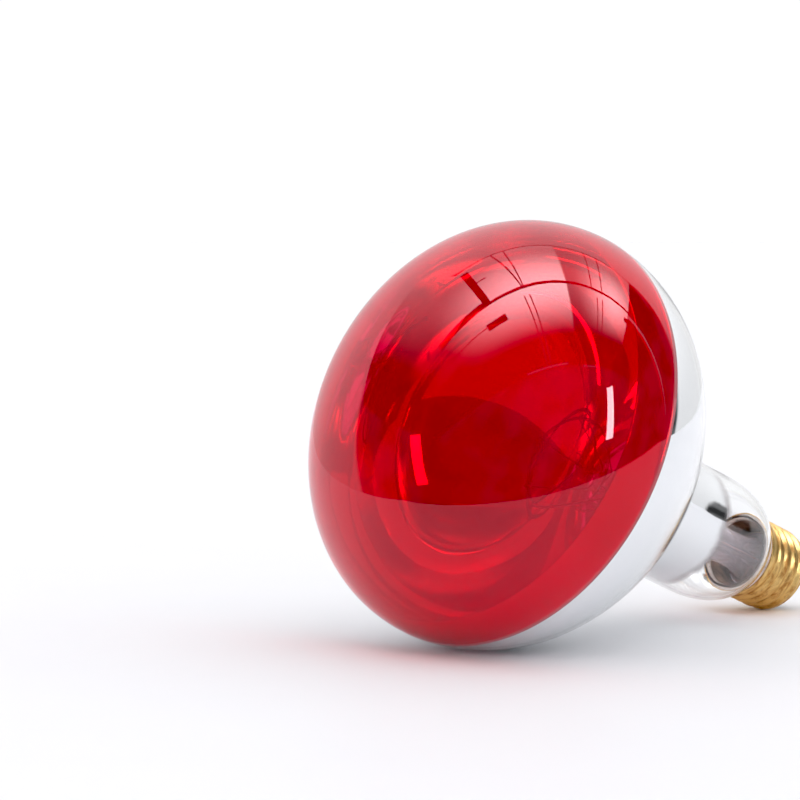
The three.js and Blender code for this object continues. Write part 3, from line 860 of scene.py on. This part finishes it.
def makeSurroundings():
    world = bpy.data.worlds.new("studio")
    bpy.context.scene.world = world
    world.use_nodes = True
    world.cycles.sampling_method = "NONE"
    tree = world.node_tree
    turn = tree.nodes.new("ShaderNodeMapping")
    turn.inputs["Rotation"].default_value = (0, 0, -studio["heading"])
    tree.links.new(tree.nodes.new("ShaderNodeTexCoord").outputs["Generated"], turn.inputs["Vector"])
    parts = tree.nodes.new("ShaderNodeSeparateXYZ")
    tree.links.new(turn.outputs["Vector"], parts.inputs["Vector"])
    ahead, across, up = parts.outputs
    # where a direction meets a flat roof one unit up, u towards the camera and v to the camera's left
    height = maths(tree, "MAXIMUM", up, 0.02)
    u = maths(tree, "DIVIDE", ahead, height)
    v = maths(tree, "DIVIDE", across, height)
    bearing = maths(tree, "MULTIPLY", maths(tree, "ARCTAN2", across, ahead), 180 / math.pi)
    level = maths(tree, "MULTIPLY", maths(tree, "ARCSINE", up), 180 / math.pi)

    def times(*values):
        total = values[0]
        for value in values[1:]:
            total = maths(tree, "MULTIPLY", total, value)
        return total

    def between(value, low, high, soft):
        rising = ramp(tree, value, low - soft / 2, low + soft / 2)
        return times(rising, ramp(tree, value, high - soft / 2, high + soft / 2, 1.0, 0.0))

    def laid(under, over, mask):  # one brightness laid over another
        return maths(tree, "MULTIPLY_ADD", mask, maths(tree, "SUBTRACT", over, under), under)

    # walls, and the dark room between them behind the camera
    leftEdge = maths(tree, "MULTIPLY_ADD", level, -0.6, -102.0)
    rightEdge = maths(tree, "MULTIPLY_ADD", level, 0.6, 104.5)
    inRoom = times(ramp(tree, maths(tree, "SUBTRACT", bearing, leftEdge), -1.5, 1.5),
                   ramp(tree, maths(tree, "SUBTRACT", bearing, rightEdge), -1.5, 1.5, 1.0, 0.0))
    light = ramp(tree, level, 0.0, 50.0, studio["wallFoot"], studio["wallTop"])
    shapes = noiseAt(tree, turn.outputs["Vector"], 5.0, 1.0)
    light = laid(light, ramp(tree, shapes, 0.3, 0.7, studio["room"], studio["furniture"]), inRoom)

    # two cloths make the roof; a sharp seam parts the left one from the right one
    near = ramp(tree, u, 0.0, 0.5, 1.0, 0.0)
    leftHalf = times(ramp(tree, v, -1.35, -0.25), ramp(tree, v, -0.05, -0.03, 1.0, 0.0))
    rightHalf = times(ramp(tree, v, -0.05, -0.03), ramp(tree, v, 0.0, 0.42, 0.12, 1.0),
                      ramp(tree, v, 0.4, 0.8, 1.0, 0.3))
    glow = times(studio["clothGlow"], ramp(tree, u, -0.5, 0.08, 0.08, 1.0), near,
                 maths(tree, "ADD", leftHalf, rightHalf))
    dim = times(studio["cloth"], ramp(tree, v, -2.0, -1.0), ramp(tree, u, -0.6, 0.5, 1.0, 0.0))
    roof = times(maths(tree, "ADD", glow, dim), ramp(tree, v, 0.648, 0.66, 1.0, 0.03))
    farEdge = ramp(tree, v, -0.95, -0.75, -1.1, -0.585)
    inRoof = times(ramp(tree, maths(tree, "SUBTRACT", u, farEdge), -0.003, 0.003),
                   ramp(tree, u, 0.8, 0.9, 1.0, 0.0), between(v, -3.0, 1.2, 0.3))
    light = laid(light, roof, inRoof)

    for uReach, vReach, lean, brightness in roofLines:
        leaning = maths(tree, "MULTIPLY_ADD", u, -lean, v) if lean else v
        mask = times(between(u, *uReach, 0.006), between(leaning, *vReach, 0.006))
        light = laid(light, brightness, mask)
    inStrip = times(between(bearing, 26.5, 32.5, 0.8), between(level, 12, 37, 0.8))
    light = laid(light, studio["strip"], inStrip)

    path = tree.nodes.new("ShaderNodeLightPath")
    fromAbove = ramp(tree, up, -0.2, 0.9, studio["scattered"] * 0.9, studio["scattered"] * 1.1)
    scattered = times(fromAbove, ramp(tree, ahead, -0.6, 0.6, 0.87, 1.15))  # a little more from the front
    reflected = maths(tree, "GREATER_THAN", path.outputs["Glossy Depth"], 0.5)
    diffused = maths(tree, "GREATER_THAN", path.outputs["Diffuse Depth"], 0.5)
    strength = laid(laid(studio["background"], light, reflected), scattered, diffused)
    background = next(n for n in tree.nodes if n.type == "BACKGROUND")
    background.inputs["Color"].default_value = (0.985, 0.985, 1.0, 1)
    plug(tree, background.inputs["Strength"], strength)


view = {
    "lens": 156.9,
    "place": (-0.7589, -0.6789, 0.1353),
    "aim": (-0.0830, 0, 0.0720),
}


def makeCamera():
    camera = bpy.data.objects.new("camera", bpy.data.cameras.new("camera"))
    bpy.context.scene.collection.objects.link(camera)
    camera.data.lens = view["lens"]
    camera.location = view["place"]
    ahead = Vector(view["aim"]) - camera.location
    camera.rotation_euler = ahead.to_track_quat("-Z", "Y").to_euler()
    bpy.context.scene.camera = camera


makeTable()
makeSurroundings()
makeCamera()
scene = bpy.context.scene
scene.view_settings.view_transform = "Standard"
scene.view_settings.use_curve_mapping = True
scene.view_settings.curve_mapping.black_level = (0.018, 0.018, 0.018)
scene.cycles.max_bounces = 32
scene.cycles.transmission_bounces = 24
scene.cycles.glossy_bounces = 16
scene.cycles.transparent_max_bounces = 32
scene.cycles.blur_glossy = 0.3
print("studio ready")
